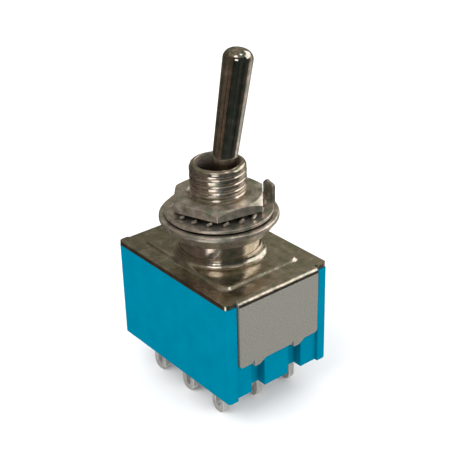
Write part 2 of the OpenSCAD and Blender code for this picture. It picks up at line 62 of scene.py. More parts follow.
# ---- Studio ----
# A pale floor that runs out of sight, two soft boxes and an even white room.
# Bright metal mirrors the dim workshop round the table: dark wood, a window strip, a soft box at the right.
ROOM_STRENGTH, FLOOR_HALF, LAMP_AIM, BOX_SIZE, KEY_WATTS, SIDE_WATTS = 1.05, 1, 18, 0.25, 0.42, 0.28
DIM_ROOF, WINDOW, SIDE_WINDOW = (0.21, 0.2, 0.155), (1.9, 1.9, 1.9), (1.7, 1.65, 1.6)


def node(tree, kind, **values):
    """Adds a node and sets its properties and sockets by name, or by number as in _0. A socket as value is linked."""
    made = tree.nodes.new(kind)
    for name, value in values.items():
        if hasattr(made, name) and name not in made.inputs:
            setattr(made, name, value)
            continue
        label = name.replace("_", " ")
        socket = made.inputs[label] if label in made.inputs else made.inputs[int(name[1:])]
        if isinstance(value, bpy.types.NodeSocket):
            tree.links.new(value, socket)
        else:
            socket.default_value = value
    return made


def math_node(tree, operation, *values):
    """The output of a math node that works on the values in order."""
    numbered = {f"_{k}": value for k, value in enumerate(values)}
    return node(tree, "ShaderNodeMath", operation=operation, **numbered).outputs[0]


def ramp(tree, fac, stops):
    """A colour ramp's output. Each stop is a place and a colour, or one number for grey."""
    made = tree.nodes.new("ShaderNodeValToRGB")
    tree.links.new(fac, made.inputs["Fac"])
    while len(made.color_ramp.elements) < len(stops):
        made.color_ramp.elements.new(1)
    for element, (at, colour) in zip(made.color_ramp.elements, stops):
        element.position = at
        element.color = (*colour, 1) if not isinstance(colour, float) else (colour, colour, colour, 1)
    return made.outputs["Color"]


def mix(tree, fac, a, b):
    """The colour between a and b at this share."""
    made = tree.nodes.new("ShaderNodeMix")
    made.data_type = "RGBA"
    for socket, value in ((made.inputs[0], fac), (made.inputs[6], a), (made.inputs[7], b)):
        if isinstance(value, bpy.types.NodeSocket):
            tree.links.new(value, socket)
        else:
            socket.default_value = value if isinstance(value, float) else (*value, 1)
    return made.outputs[2]


world = bpy.data.worlds.new("room")
bpy.context.scene.world = world
world.use_nodes = True
room = world.node_tree
room.nodes.clear()
way = room.nodes.new("ShaderNodeTexCoord").outputs["Generated"]
ahead = node(room, "ShaderNodeVectorMath", operation="DOT_PRODUCT", _0=way, _1=toward).outputs["Value"]
aside = node(room, "ShaderNodeVectorMath", operation="DOT_PRODUCT", _0=way, _1=to_right).outputs["Value"]
height = node(room, "ShaderNodeSeparateXYZ", Vector=way).outputs["Z"]
turn = math_node(room, "MULTIPLY_ADD", math_node(room, "ARCTAN2", aside, ahead), 0.5 / math.pi, 0.5)


def at(degrees):
    """Place on a ramp of a direction so many degrees to the right of the camera."""
    return 0.5 + degrees / 360


def pane(left, right, foot, top, soft=0.02):
    """A soft-edged mask over a patch of the room, between two directions in degrees and two heights."""
    share = 1.0
    for source, start, end in ((turn, at(left), at(left) + soft), (turn, at(right) + soft, at(right)),
                               (height, foot, foot + 2 * soft), (height, top + 2 * soft, top)):
        edge = node(room, "ShaderNodeMapRange", interpolation_type="SMOOTHSTEP", Value=source,
                    From_Min=min(start, end), From_Max=max(start, end),
                    To_Min=float(start > end), To_Max=float(start < end)).outputs[0]
        share = math_node(room, "MULTIPLY", share, edge)
    return share


table = ramp(room, turn, [
    (0.0, (0.035, 0.04, 0.025)), (at(-150), (0.05, 0.045, 0.03)), (at(-110), (0.035, 0.026, 0.02)),
    (at(-80), (0.08, 0.06, 0.045)), (at(-56), (0.07, 0.052, 0.038)), (at(-42), (0.10, 0.085, 0.06)),
    (at(-36), (1.5, 1.45, 1.4)), (at(-12), (1.5, 1.5, 1.5)),
    (at(-6), (0.30, 0.33, 0.36)), (at(12), (0.12, 0.15, 0.15)), (at(20), (0.03, 0.038, 0.034)), (at(60), (0.04, 0.042, 0.036)),
    (at(84), (0.07, 0.065, 0.055)), (at(102), (0.55, 0.52, 0.49)), (at(140), (0.5, 0.48, 0.43)), (1.0, (0.06, 0.065, 0.045))])
walls = ramp(room, turn, [
    (0.0, (0.17, 0.165, 0.12)), (at(-120), (0.05, 0.04, 0.03)), (at(-80), (0.10, 0.08, 0.06)), (at(-45), (0.09, 0.065, 0.045)),
    (at(-28), (0.03, 0.035, 0.03)), (at(45), (0.03, 0.037, 0.032)), (at(80), (0.06, 0.055, 0.045)), (at(98), (0.16, 0.13, 0.10)),
    (at(106), (0.5, 0.47, 0.43)), (at(125), (0.4, 0.36, 0.3)), (at(150), (0.18, 0.165, 0.12)), (1.0, (0.17, 0.165, 0.12))])
rise = node(room, "ShaderNodeMapRange", interpolation_type="SMOOTHSTEP", Value=height, From_Min=-0.36, From_Max=-0.29)
roof = node(room, "ShaderNodeMapRange", interpolation_type="SMOOTHSTEP", Value=height, From_Min=0.45, From_Max=0.75)
mirrored = mix(room, roof.outputs[0], mix(room, rise.outputs[0], table, walls), DIM_ROOF)
spots = node(room, "ShaderNodeTexNoise", Vector=way, Scale=5.0, Detail=4.0).outputs["Fac"]
clutter = ramp(room, spots, [(0.3, 0.4), (0.7, 1.7)])
mirrored = node(room, "ShaderNodeMix", data_type="RGBA", blend_type="MULTIPLY",
                _0=1.0, _6=mirrored, _7=clutter).outputs[2]
for window, light in ((pane(-26, -4, 0.05, 0.33), WINDOW), (pane(70, 146, 0.2, 0.66), SIDE_WINDOW),
                      (pane(-40, -4, 0.64, 0.86), WINDOW), (pane(40, 80, 0.84, 0.93), WINDOW)):
    mirrored = mix(room, window, mirrored, light)
ray = room.nodes.new("ShaderNodeLightPath")
even = node(room, "ShaderNodeBackground", Color=(1, 1, 1, 1), Strength=ROOM_STRENGTH)
seen = node(room, "ShaderNodeBackground", Color=mirrored, Strength=1.0)
both = node(room, "ShaderNodeMixShader", Fac=ray.outputs["Is Glossy Ray"])
room.links.new(even.outputs[0], both.inputs[1])
room.links.new(seen.outputs[0], both.inputs[2])
room.links.new(both.outputs[0], node(room, "ShaderNodeOutputWorld").inputs["Surface"])

floor_mesh = bpy.data.meshes.new("floor")
floor_mesh.from_pydata([(x * FLOOR_HALF, y * FLOOR_HALF, 0) for x, y in ((-1, -1), (1, -1), (1, 1), (-1, 1))],
                       [], [(0, 1, 2, 3)])
floor = bpy.data.objects.new("floor", floor_mesh)
bpy.context.collection.objects.link(floor)
paper = bpy.data.materials.new("paper")
paper.use_nodes = True
shader = paper.node_tree.nodes["Principled BSDF"]
shader.inputs["Base Color"].default_value = (0.96, 0.96, 0.96, 1)
shader.inputs["Roughness"].default_value = 0.9
floor_mesh.materials.append(paper)
floor.visible_glossy = False


def soft_box(name, place, watts):
    """A round soft lamp, out of sight in mirrors, that faces the switch."""
    lamp = bpy.data.objects.new(name, bpy.data.lights.new(name, "AREA"))
    lamp.data.shape, lamp.data.size, lamp.data.energy = "DISK", BOX_SIZE, watts
    lamp.location = place
    lamp.rotation_euler = (Vector((0, 0, LAMP_AIM * MM)) - Vector(place)).to_track_quat("-Z", "Y").to_euler()
    lamp.visible_glossy = False
    bpy.context.collection.objects.link(lamp)


soft_box("key_box", toward * 0.12 - to_right * 0.16 + Vector((0, 0, 0.22)), KEY_WATTS)
soft_box("side_box", toward * 0.16 + to_right * 0.18 + Vector((0, 0, 0.12)), SIDE_WATTS)


# ---- Moulded case ----
# A box of blue thermoset with three cells inside, moulded in one shot, with its edges just broken.
# Recesses at both ends take the frame's flaps, and two grooves in each give room to clench their hooks.
CASE_EASE = 0.04


def finish(name, base, roughness, metallic=0.0):
    """A new material with its shader, ready for texture."""
    made = bpy.data.materials.new(name)
    made.use_nodes = True
    shader = made.node_tree.nodes["Principled BSDF"]
    shader.inputs["Base Color"].default_value = (*base, 1)
    shader.inputs["Roughness"].default_value = roughness
    shader.inputs["Metallic"].default_value = metallic
    return made, made.node_tree, shader


def grain(tree, size, detail=3.0, stretch=(1, 1, 1)):
    """Noise on the piece's own coordinates, whose spots are about so many millimetres across."""
    own = tree.nodes.new("ShaderNodeTexCoord").outputs["Object"]
    place = node(tree, "ShaderNodeMapping", Vector=own, Scale=stretch)
    return node(tree, "ShaderNodeTexNoise", Vector=place.outputs[0], Scale=1 / (size * MM), Detail=detail).outputs["Fac"]


def mottle(tree, shader, socket, size, *stops, detail=3.0):
    """Varies one of a shader's inputs from stop to stop, in spots about so many millimetres across."""
    tree.links.new(ramp(tree, grain(tree, size, detail), stops), shader.inputs[socket])


def emboss(tree, shader, *layers):
    """Lays bumps over each other, each a height and its depth in millimetres."""
    normal = None
    for height, depth in layers:
        bump = node(tree, "ShaderNodeBump", Strength=1.0, Distance=depth * MM, Height=height)
        if normal:
            tree.links.new(normal, bump.inputs["Normal"])
        normal = bump.outputs[0]
    tree.links.new(normal, shader.inputs["Normal"])


def dress(material, *names):
    """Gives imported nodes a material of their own."""
    for name in names:
        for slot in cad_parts[name].material_slots:
            slot.material = material


def settled(piece, material, slot, body, *replaced):
    """Works a piece's modifiers into its mesh, brings it from millimetres to metres and puts it on its body."""
    bpy.context.view_layer.update()
    mesh = bpy.data.meshes.new_from_object(piece.evaluated_get(bpy.context.evaluated_depsgraph_get()))
    piece.modifiers.clear()
    piece.data = mesh
    mesh.transform(Matrix.Scale(MM, 4))
    mesh.materials.clear()
    for each in material if isinstance(material, tuple) else (material,):
        mesh.materials.append(each)
    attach(piece, body)
    if replaced:
        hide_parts(*replaced)
    return piece


def new_piece(name, shape):
    """An object from a bmesh in millimetres, closed, with its faces outwards and smooth."""
    bmesh.ops.remove_doubles(shape, verts=shape.verts, dist=1e-4)
    bmesh.ops.recalc_face_normals(shape, faces=shape.faces)
    made = bpy.data.objects.new(name, bpy.data.meshes.new(name))
    shape.to_mesh(made.data)
    shape.free()
    made.data.shade_smooth()
    bpy.context.collection.objects.link(made)
    return made


def ease_edges(piece, width, segments=2, angle=30):
    """Rounds a piece's edges and keeps its flats flat."""
    bevel = piece.modifiers.new("edges", "BEVEL")
    bevel.width, bevel.segments = width, segments
    bevel.limit_method, bevel.angle_limit = "ANGLE", math.radians(angle)
    flats = piece.modifiers.new("flats", "WEIGHTED_NORMAL")
    flats.keep_sharp = True


def copy_of(name, node_name):
    """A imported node's shape as a piece of its own, in millimetres, with its flats whole again."""
    shape = bmesh.new()
    shape.from_mesh(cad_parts[node_name].data)
    bmesh.ops.scale(shape, vec=(1 / MM, 1 / MM, 1 / MM), verts=shape.verts)
    bmesh.ops.remove_doubles(shape, verts=shape.verts, dist=1e-4)
    bmesh.ops.dissolve_limit(shape, angle_limit=math.radians(1), verts=shape.verts, edges=shape.edges)
    return new_piece(name, shape)


blue, tree, shader = finish("blue_thermoset", (0.0, 0.165, 0.277), 0.55)
shader.inputs["Specular IOR Level"].default_value = 0.0
mottle(tree, shader, "Base Color", 2.2, (0.3, (0.0, 0.15, 0.24)), (0.7, (0.0, 0.168, 0.265)))
emboss(tree, shader, (grain(tree, 0.12), 0.003), (grain(tree, 0.8), 0.01))
case = copy_of("moulded_case", "case")
ease_edges(case, CASE_EASE)
settled(case, blue, "case_plastic", "housing", "case")

# ---- Sealing compound ----
# Dark epoxy poured round the lugs from below, once the contacts are in.
# It creeps up the lugs a little and sets with a soft, slightly wavy face.
resin, tree, shader = finish("cast_resin", (0.02, 0.022, 0.028), 0.3)
mottle(tree, shader, "Base Color", 0.8, (0.3, (0.015, 0.016, 0.02)), (0.7, (0.03, 0.032, 0.04)))
mottle(tree, shader, "Roughness", 0.5, (0.3, 0.2), (0.7, 0.4))
emboss(tree, shader, (grain(tree, 1.6), 0.06))
dress(resin, "terminal_seal")

# ---- Solder lugs ----
# Nine lugs stamped from brass strip and hot-tinned: a round end, a slot for the wire, soft solder-rounded edges.
# They stand in the case's floor in three rows, a common between two throws for each pole.
LUG_WIDTH, LUG_SHEET, SLOT_WIDTH, SLOT_LENGTH, SLOT_FOOT = 2.0, 0.76, 0.8, 2.0, 0.7
LUG_HEAD, POLE_PITCH, ROW_PITCH, LUG_EASE = 6.6, 5.3, 4.7, 0.09


def arc(cx, cy, radius, start, end, steps):
    """Points on an arc, angles in degrees."""
    turns = [math.radians(start + (end - start) * k / steps) for k in range(steps + 1)]
    return [(cx + radius * math.cos(a), cy + radius * math.sin(a)) for a in turns]


def stamped(name, outlines, sheet, way="Y"):
    """A flat blank between closed outlines, the first around and the rest holes, with its sheet's thickness along way."""
    shape = bmesh.new()
    for outline in outlines:
        corners = [shape.verts.new((u, -sheet / 2, v) if way == "Y" else (u, v, -sheet / 2)) for u, v in outline]
        for a, b in zip(corners, corners[1:] + corners[:1]):
            shape.edges.new((a, b))
    bmesh.ops.triangle_fill(shape, use_beauty=True, edges=shape.edges)
    bmesh.ops.dissolve_limit(shape, angle_limit=math.radians(1), verts=shape.verts, edges=shape.edges)
    grown = bmesh.ops.extrude_face_region(shape, geom=shape.faces[:])["geom"]
    raised = [part for part in grown if isinstance(part, bmesh.types.BMVert)]
    bmesh.ops.translate(shape, vec=(0, sheet, 0) if way == "Y" else (0, 0, sheet), verts=raised)
    return new_piece(name, shape)


def new_tree(name, **inputs):
    """A Geometry Nodes tree with named inputs after its geometry, such as Count="Int"."""
    made = bpy.data.node_groups.new(name, "GeometryNodeTree")
    made.interface.new_socket(name="Geometry", in_out="INPUT", socket_type="NodeSocketGeometry")
    made.interface.new_socket(name="Geometry", in_out="OUTPUT", socket_type="NodeSocketGeometry")
    for label, kind in inputs.items():
        made.interface.new_socket(name=label.replace("_", " "), in_out="INPUT", socket_type="NodeSocket" + kind)
    return made, made.nodes.new("NodeGroupInput").outputs


def end_tree(made, geometry, material):
    """Ends a tree with real meshes in one material."""
    real = node(made, "GeometryNodeRealizeInstances", Geometry=geometry).outputs[0]
    dressed = node(made, "GeometryNodeSetMaterial", Geometry=real, Material=material).outputs[0]
    made.links.new(dressed, made.nodes.new("NodeGroupOutput").inputs[0])


def run_tree(piece, made, **inputs):
    """Puts a tree on a piece and sets its named inputs."""
    modifier = piece.modifiers.new(made.name, "NODES")
    modifier.node_group = made
    for item in made.interface.items_tree:
        label = item.name.replace(" ", "_")
        if label in inputs:
            modifier[item.identifier] = inputs[label]


field, given = new_tree("field_of_lugs", Across="Int", Deep="Int", Pitch_X="Float", Pitch_Y="Float", Material="Material")
wide = math_node(field, "MULTIPLY", math_node(field, "SUBTRACT", given["Across"], 1.0), given["Pitch X"])
deep = math_node(field, "MULTIPLY", math_node(field, "SUBTRACT", given["Deep"], 1.0), given["Pitch Y"])
spots = node(field, "GeometryNodeMeshGrid", Vertices_X=given["Across"], Vertices_Y=given["Deep"],
             Size_X=wide, Size_Y=deep)
copies = node(field, "GeometryNodeInstanceOnPoints", Points=spots.outputs[0], Instance=given["Geometry"])
end_tree(field, copies.outputs[0], given["Material"])

tin, tree, shader = finish("tin_plate", (0.74, 0.73, 0.7), 0.35, 0.6)
mottle(tree, shader, "Roughness", 0.5, (0.3, 0.3), (0.7, 0.45))
mottle(tree, shader, "Base Color", 0.9, (0.35, (0.6, 0.58, 0.55)), (0.65, (0.76, 0.75, 0.73)))
emboss(tree, shader, (grain(tree, 0.9), 0.004))
half = LUG_WIDTH / 2
blank = arc(0, half, half, 180, 360, 24) + [(half, LUG_HEAD), (-half, LUG_HEAD)]
slot_low, slot_high = SLOT_FOOT + SLOT_WIDTH / 2, SLOT_FOOT + SLOT_LENGTH - SLOT_WIDTH / 2
wire_slot = arc(0, slot_high, SLOT_WIDTH / 2, 0, 180, 10) + arc(0, slot_low, SLOT_WIDTH / 2, 180, 360, 10)
lugs = stamped("solder_lugs", [blank, wire_slot], LUG_SHEET)
ease_edges(lugs, LUG_EASE, 3)
run_tree(lugs, field, Across=3, Deep=3, Pitch_X=POLE_PITCH, Pitch_Y=ROW_PITCH, Material=tin)
rows = {row: [f"{row}_terminal_{i}" for i in (1, 2, 3)] for row in ("near", "common", "far")}
settled(lugs, tin, "lug_tin", "housing", *rows["near"], *rows["common"], *rows["far"])

# ---- Contacts ----
# Inside, each common lug carries a cradle, and each throw lug a round contact head.
# A bow-shaped brass rocker with a button at either end tips in every cradle.
CRADLE_HALF, CRADLE_FOOT, CRADLE_LIP, CRADLE_REACH, RIB_HEIGHT, RIB_RADIUS = 0.85, 6.12, 7.91, 1, 8.03, 0.55
HEAD_RADIUS, HEAD_FOOT, HEAD_TOP = 0.85, 7.82, 8.177
trough = [(-CRADLE_HALF, CRADLE_FOOT), (CRADLE_HALF, CRADLE_FOOT), (CRADLE_HALF, CRADLE_LIP), (0.54, CRADLE_LIP)]
trough += arc(0, RIB_HEIGHT, RIB_RADIUS, -12, -168, 14) + [(-0.54, CRADLE_LIP), (-CRADLE_HALF, CRADLE_LIP)]
shape = bmesh.new()
ends = [[shape.verts.new((x, y, z)) for y, z in trough] for x in (-CRADLE_REACH, CRADLE_REACH)]
for face in ends:
    shape.faces.new(face)
for k in range(len(trough)):
    after = (k + 1) % len(trough)
    shape.faces.new((ends[0][k], ends[0][after], ends[1][after], ends[1][k]))
cradles = new_piece("rocker_cradles", shape)
ease_edges(cradles, 0.04)
run_tree(cradles, field, Across=3, Deep=1, Pitch_X=POLE_PITCH, Pitch_Y=0.0, Material=tin)
settled(cradles, tin, "lug_tin", "housing")


def turned(profile, angles):
    """A bmesh turned about the axis from (radius, height) points, closed by its ends on the axis or in a ring."""
    shape = bmesh.new()
    rings = []
    for r, z in profile:
        if r < 1e-6:
            rings.append([shape.verts.new((0, 0, z))] * len(angles))
        else:
            rings.append([shape.verts.new((r * math.cos(a), r * math.sin(a), z)) for a in angles])
    open_ends = profile[0][0] < 1e-6 and profile[-1][0] < 1e-6
    pairs = zip(rings, rings[1:] if open_ends else rings[1:] + rings[:1])
    for low_ring, high_ring in pairs:
        for k in range(len(angles)):
            after = (k + 1) % len(angles)
            corners = []
            for corner in (low_ring[k], low_ring[after], high_ring[after], high_ring[k]):
                if corner not in corners:
                    corners.append(corner)
            if len(corners) > 2:
                shape.faces.new(corners)
    return shape


def round_angles(count):
    """So many even angles round the axis."""
    return [2 * math.pi * k / count for k in range(count)]


head_profile = [(0, HEAD_FOOT), (HEAD_RADIUS, HEAD_FOOT), (HEAD_RADIUS, 8.13), (0.80, 8.16), (0.4, HEAD_TOP), (0, HEAD_TOP)]
heads = new_piece("contact_heads", turned(head_profile, round_angles(32)))
ease_edges(heads, 0.03)
run_tree(heads, field, Across=3, Deep=2, Pitch_X=POLE_PITCH, Pitch_Y=2 * ROW_PITCH, Material=tin)
settled(heads, tin, "lug_tin", "housing")
brass, tree, shader = finish("contact_brass", (0.72, 0.52, 0.27), 0.3, 1.0)
mottle(tree, shader, "Roughness", 0.6, (0.3, 0.25), (0.7, 0.38))
mottle(tree, shader, "Base Color", 1.5, (0.3, (0.66, 0.46, 0.22)), (0.7, (0.78, 0.58, 0.32)))
emboss(tree, shader, (grain(tree, 0.3, stretch=(1, 0.2, 1)), 0.003))
dress(brass, "rocker_1", "rocker_2", "rocker_3")

# ---- Actuator, plungers and springs ----
# A nylon block pressed on the lever's tail, with a sprung nylon plunger over every rocker.
# The springs are drawn steel wire, wound close by hand-sized turns.
nylon, tree, shader = finish("nylon", (0.86, 0.84, 0.76), 0.4)
mottle(tree, shader, "Base Color", 0.6, (0.3, (0.82, 0.8, 0.72)), (0.7, (0.88, 0.86, 0.78)))
emboss(tree, shader, (grain(tree, 0.5), 0.006))
dress(nylon, "actuator", "plunger_1", "plunger_2", "plunger_3")
wire, tree, shader = finish("spring_wire", (0.6, 0.6, 0.58), 0.25, 1.0)
mottle(tree, shader, "Roughness", 0.3, (0.3, 0.2), (0.7, 0.3))
dress(wire, "plunger_spring_1", "plunger_spring_2", "plunger_spring_3")

# ---- Lever ----
# A bat lever turned from brass, thickest at its domed end, and plated with bright nickel that mirrors the room.
# It swings on a ball that turns in oil inside the bushing, and its tail carries the actuator. Below the bushing's rim
# it is painted dark brown, as painted shade.
PIVOT, TILT, LEVER_LENGTH = 21.56, 11.3, 16.4
BALL, SHAFT_ROOT, SHAFT_TIP, CROWN, FULLNESS, TAIL, TAIL_END = 1.9, 1.19, 1.58, 1.15, 0.85, 0.9, 8.41
MOUTH_SHADE_TOP, MOUTH_SHADE_FULL, LEVER_MOUTH_SHADE = 26.5, 26.0, (0.16, 0.13, 0.1)


def shaft(z):
    """The shaft's radius at this height above the pivot."""
    return SHAFT_ROOT + (SHAFT_TIP - SHAFT_ROOT) * z / (LEVER_LENGTH - CROWN)


def where_on(tree):
    """Height and distance from the bushing's axis, from the piece's own coordinates."""
    place = node(tree, "ShaderNodeSeparateXYZ", Vector=tree.nodes.new("ShaderNodeTexCoord").outputs["Object"]).outputs
    level_place = node(tree, "ShaderNodeCombineXYZ", X=place[0], Y=place[1]).outputs[0]
    return place[2], node(tree, "ShaderNodeVectorMath", operation="LENGTH", _0=level_place).outputs["Value"]


lever_profile = [(0, -TAIL_END), (TAIL - 0.1, -TAIL_END), (TAIL, -TAIL_END + 0.1)]
lever_profile += [(BALL * math.cos(math.radians(a)), BALL * math.sin(math.radians(a))) for a in range(-61, 50, 5)]
lever_profile += [(shaft(z), z) for z in (1.62, 1.8, 2.2, 3, 5, 8, 11, 14, 15)]
crown_angles = [math.radians(a) for a in (0, 4, 8, 13, 18, 24, 30, 37, 44, 51, 58, 65, 72, 79, 85)]
lever_profile += [(SHAFT_TIP * math.cos(a) ** FULLNESS, LEVER_LENGTH - CROWN + CROWN * math.sin(a)) for a in crown_angles]
lever_profile.append((0, LEVER_LENGTH))
shape = turned(lever_profile, round_angles(96))
lean = Matrix.Translation((0, 0, PIVOT)) @ Matrix.Rotation(math.radians(-TILT), 4, "X")
bmesh.ops.transform(shape, matrix=lean, verts=shape.verts)
lever_nickel, tree, shader = finish("lever_nickel", (0.62, 0.57, 0.52), 0.07, 1.0)
mottle(tree, shader, "Roughness", 1.0, (0.3, 0.05), (0.7, 0.12))
mottle(tree, shader, "Base Color", 0.8,
       (0.36, (0.42, 0.46, 0.40)), (0.48, (0.60, 0.55, 0.49)),
       (0.56, (0.66, 0.55, 0.48)), (0.66, (0.80, 0.76, 0.70)), detail=6.0)
emboss(tree, shader, (grain(tree, 2.0), 0.02), (grain(tree, 0.25), 0.0015))
# Painted shade: the lever is painted dark brown from just above the bushing's rim downward, where it sits inside the
# mouth.
mouth_shade = node(tree, "ShaderNodeMapRange", Value=where_on(tree)[0],
             From_Min=MOUTH_SHADE_TOP * MM, From_Max=MOUTH_SHADE_FULL * MM).outputs[0]
plated = shader.inputs["Base Color"].links[0].from_socket
tree.links.new(mix(tree, mouth_shade, plated, LEVER_MOUTH_SHADE), shader.inputs["Base Color"])
lever = new_piece("bat_lever", shape)
lever.data.set_sharp_from_angle(angle=math.radians(40))
settled(lever, lever_nickel, "lever_nickel", "lever", "lever")

# ---- Bushing ----
# Turned from brass with a flange, a plain neck and an M6 x 0.75 thread with a keyway, then plated with bright nickel.
# It is set in the frame's collar, and the lever's ball turns in a seat inside it.
CREST, PITCH, THREAD_DEPTH, KEYWAY, KEYWAY_FLOOR, RIM, SHOULDER = 3.0, 0.75, 0.13, 1.0, 2.55, 26.26, 0.5
SEAT, THREAD_INSIDE, UNDERCUT, CREST_SHARE, THREAD_STEPS = 1.95, 2.7, 2.76, 0.4, 14
NECK, NECK_TOP, FLANGE, FLANGE_TOP, FLANGE_FOOT, MOUTH, THREAD_FOOT = 4.3, 18.8, 5.0, 15.22, 14.75, 2.42, 21.74

threader, given = new_tree("cut_thread", Crest_Radius="Float", Depth="Float", Pitch="Float", Foot="Float",
                           Keyway_Width="Float", Keyway_Floor="Float", Material="Material")
carve = partial(math_node, threader)
where = threader.nodes.new("GeometryNodeInputPosition").outputs[0]
parts = node(threader, "ShaderNodeSeparateXYZ", Vector=where).outputs
radius = carve("SQRT", carve("MULTIPLY_ADD", parts[0], parts[0], carve("MULTIPLY", parts[1], parts[1])))
share = carve("DIVIDE", carve("ARCTAN2", parts[1], parts[0]), 2 * math.pi)
climb = carve("FRACT", carve("SUBTRACT", carve("DIVIDE", parts[2], given["Pitch"]), share))
ridge = carve("ABSOLUTE", carve("MULTIPLY_ADD", climb, 2.0, -1.0))
groove = node(threader, "ShaderNodeMapRange", interpolation_type="SMOOTHERSTEP", Value=ridge,
              From_Min=CREST_SHARE, From_Max=1.0).outputs[0]
floor_radius = carve("SUBTRACT", given["Crest Radius"], carve("MULTIPLY", groove, given["Depth"]))
outer = carve("MULTIPLY", carve("GREATER_THAN", radius, THREAD_INSIDE), carve("GREATER_THAN", parts[2], given["Foot"]))
cut = carve("DIVIDE", carve("MINIMUM", radius, floor_radius), radius)
scale = carve("ADD", carve("MULTIPLY", outer, carve("SUBTRACT", cut, 1.0)), 1.0)
new_x, new_y = carve("MULTIPLY", parts[0], scale), carve("MULTIPLY", parts[1], scale)
in_key = carve("LESS_THAN", carve("ABSOLUTE", parts[0]), carve("MULTIPLY", given["Keyway Width"], 0.5))
in_key = carve("MULTIPLY", carve("MULTIPLY", in_key, outer), carve("GREATER_THAN", parts[1], 0.0))
keyed = carve("MINIMUM", new_y, given["Keyway Floor"])
new_y = carve("ADD", new_y, carve("MULTIPLY", in_key, carve("SUBTRACT", keyed, new_y)))
moved = node(threader, "GeometryNodeSetPosition", Geometry=given["Geometry"],
             Position=node(threader, "ShaderNodeCombineXYZ", X=new_x, Y=new_y, Z=parts[2]).outputs[0])
end_tree(threader, moved.outputs[0], given["Material"])

bore = [(2.58, FLANGE_FOOT), (SEAT, PIVOT - 1.1), (SEAT, PIVOT)]
bore += [(SEAT * math.cos(math.radians(a)), PIVOT + SEAT * math.sin(math.radians(a))) for a in (7, 14, 21, 28, 34.86)]
bore += [(MOUTH, RIM - 2.0), (MOUTH, RIM - 0.06), (MOUTH + 0.02, RIM - 0.02)]
rim = [(r, RIM - drop) for r, drop in (
    (2.48, 0), (2.58, 0.01), (2.7, 0.04), (2.8, 0.09), (2.88, 0.17), (2.94, 0.28), (2.98, 0.4))]
steps = round((RIM - SHOULDER - THREAD_FOOT) / (PITCH / THREAD_STEPS))
blank_side = [(CREST, RIM - SHOULDER - k * PITCH / THREAD_STEPS) for k in range(steps + 1)]
low_side = [(UNDERCUT, blank_side[-1][1]), (UNDERCUT, NECK_TOP), (NECK - 0.05, NECK_TOP), (NECK, NECK_TOP - 0.05),
            (NECK, FLANGE_TOP), (FLANGE, FLANGE_TOP), (FLANGE, FLANGE_FOOT)]
key_edges = [math.radians(a) for a in (80.32, 80.55, 99.45, 99.68)]
columns = sorted(round_angles(144) + key_edges)
bushing = new_piece("threaded_bushing", turned(bore + rim + blank_side + low_side, columns))
bright_nickel, tree, shader = finish("bright_nickel", (0.62, 0.57, 0.51), 0.16, 1.0)
mottle(tree, shader, "Roughness", 1.0, (0.3, 0.1), (0.7, 0.2))
mottle(tree, shader, "Base Color", 1.1,
       (0.34, (0.42, 0.42, 0.32)), (0.45, (0.58, 0.52, 0.43)),
       (0.55, (0.64, 0.53, 0.45)), (0.68, (0.78, 0.73, 0.66)), detail=6.0)
emboss(tree, shader, (grain(tree, 1.4), 0.015), (grain(tree, 0.2), 0.003))
height_on, off_axis = where_on(tree)
lit = node(tree, "ShaderNodeMapRange", Value=height_on, From_Min=(RIM - 1.5) * MM, From_Max=(RIM - 0.2) * MM).outputs[0]
inside = node(tree, "ShaderNodeMapRange", Value=off_axis, From_Min=2.5 * MM, From_Max=2.43 * MM).outputs[0]
dulled = math_node(tree, "MULTIPLY", inside, lit)
tree.links.new(math_node(tree, "MULTIPLY_ADD", dulled, -0.3, 0.97), shader.inputs["Metallic"])
run_tree(bushing, threader, Crest_Radius=CREST, Depth=THREAD_DEPTH, Pitch=PITCH, Foot=THREAD_FOOT,
         Keyway_Width=KEYWAY, Keyway_Floor=KEYWAY_FLOOR, Material=bright_nickel)
settled(bushing, bright_nickel, "bushing_nickel", "housing", "bushing")
bushing.data.set_sharp_from_angle(angle=math.radians(38))

# ---- Frame ----
# One piece of steel sheet: a plate with a shallow pad pressed up in it, a collar drawn up around the bushing,
# and two flaps bent down over the case's ends, whose hooks clench it. Nickel-plated, bright above and grainy on the flaps.
PLATE_X, PLATE_Y, PLATE_TOP, SHEET, PLATE_CORNER = 9.33, 6.85, 15.75, 0.5, 0.5
PAD_X, PAD_Y, PAD_HEIGHT, PAD_CORNER, PAD_EDGE = 7.03, 5.05, 0.3, 1.0, 0.26
COLLAR, COLLAR_HEIGHT, COLLAR_SWEEP, HOLE = 4.5, 0.9, 0.9, 4.31
BEND_X, BEND_OUT, BEND_IN, FLAP_HALF, RELIEF, FLAP_FOOT, TINY = 8.95, 0.65, 0.15, 5.35, 0.16, 7.9, 1e-6
HOOK_MIDDLES, HOOK_SIDE, NOTCH_WIDTH, NOTCH_RISE, RAY_STEPS = (-3.03, 2.37), 0.4, 0.2, 0.2, 240

quarter = [(BEND_X, FLAP_HALF * k / 24) for k in range(25)]
quarter += [(BEND_X, FLAP_HALF + RELIEF / 2), (PLATE_X, FLAP_HALF + 2 * RELIEF)]
quarter += [(PLATE_X, y) for y in (5.8, 6.1)] + arc(PLATE_X - PLATE_CORNER, PLATE_Y - PLATE_CORNER, PLATE_CORNER, 0, 90, 9)
quarter += [((PLATE_X - PLATE_CORNER) * (1 - k / 36), PLATE_Y) for k in range(1, 37)]
turned_quarters = [quarter[:-1], [(-x, y) for x, y in quarter[:0:-1]], [(-x, -y) for x, y in quarter[:-1]],
                   [(x, -y) for x, y in quarter[:0:-1]]]
outline = [point for part in turned_quarters for point in part]


def pad_share(x, y, shift=0.0):
    """How high the pad stands here, from 0 on the plate to 1 on the pad, in a soft S-curve."""
    over_x, over_y = abs(x) - PAD_X + PAD_CORNER, abs(y) - PAD_Y + PAD_CORNER
    away = math.hypot(max(over_x, 0), max(over_y, 0)) + min(max(over_x, over_y), 0) - PAD_CORNER + shift
    t = min(max((PAD_EDGE - away) / (2 * PAD_EDGE), 0), 1)
    return t * t * (3 - 2 * t)


